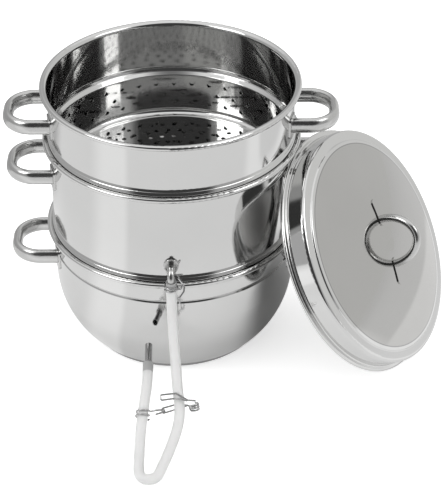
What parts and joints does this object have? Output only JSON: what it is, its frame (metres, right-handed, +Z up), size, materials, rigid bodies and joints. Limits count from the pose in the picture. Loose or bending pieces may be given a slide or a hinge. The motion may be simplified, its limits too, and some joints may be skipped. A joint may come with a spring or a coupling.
{
  "type": "steam juicer",
  "caption": "Stacked steel steam juicer: water pan, juice kettle with drain hose and clips, perforated fruit basket, and a domed lid leaning on its side.",
  "frame": {"origin": "centre of the face that the pan stands on", "axes": "+Z up, -Y towards the drain hose, +X towards the handles on the lid's side"},
  "size_m": [0.4731, 0.431, 0.301],
  "materials": {
    "polished_steel": "polished stainless steel sheet",
    "lid_steel": "polished stainless steel sheet",
    "base_steel": "brushed stainless steel",
    "handle_steel": "polished tube",
    "aluminium_core": "plain",
    "hose_silicone": "translucent silicone",
    "clip_wire": "bright spring wire"
  },
  "bodies": {
    "pan": {"pan_shell": "polished_steel", "pan_base_core": "aluminium_core", "pan_base_cap": "base_steel", "pan_handle_left": "handle_steel", "pan_handle_right": "handle_steel", "pan_handle_plates": "polished_steel"},
    "kettle": {"kettle_shell": "polished_steel", "steam_chimney": "polished_steel", "juice_outlet": "polished_steel", "outlet_flange": "polished_steel", "kettle_handle_left": "handle_steel", "kettle_handle_right": "handle_steel", "kettle_handle_plates": "polished_steel", "juice_hose": "hose_silicone", "hose_clip": "clip_wire", "hose_tip": "polished_steel", "clamp_frame": "clip_wire", "clamp_spring": "clip_wire", "ring_clip": "clip_wire"},
    "basket": {"basket_shell": "polished_steel", "basket_handle_left": "handle_steel", "basket_handle_right": "handle_steel", "basket_handle_plates": "polished_steel"},
    "lid": {"lid_shell": "lid_steel", "lid_handle": "handle_steel", "lid_handle_feet": "polished_steel"},
    "pinch_lever": {"clamp_lever": "clip_wire"}
  },
  "joints": [
    {"name": "kettle_lift", "type": "slide", "parent": "pan", "child": "kettle", "axis": [0, 0, 1], "range_m": [0, 0.16]},
    {"name": "basket_lift", "type": "slide", "parent": "kettle", "child": "basket", "axis": [0, 0, 1], "range_m": [0, 0.16]},
    {"name": "lid_away", "type": "slide", "parent": "kettle", "child": "lid", "axis": [0.7703, -0.3757, 0.5153], "range_m": [0, 0.12]},
    {"name": "clamp_squeeze", "type": "hinge", "parent": "kettle", "child": "pinch_lever", "pos_m": [0.02344, -0.21748, 0.04123], "axis": [-0.1147, 0.7868, 0.6065], "range_deg": [0, 22], "stiffness_Nm_per_rad": 0.05}
  ]
}
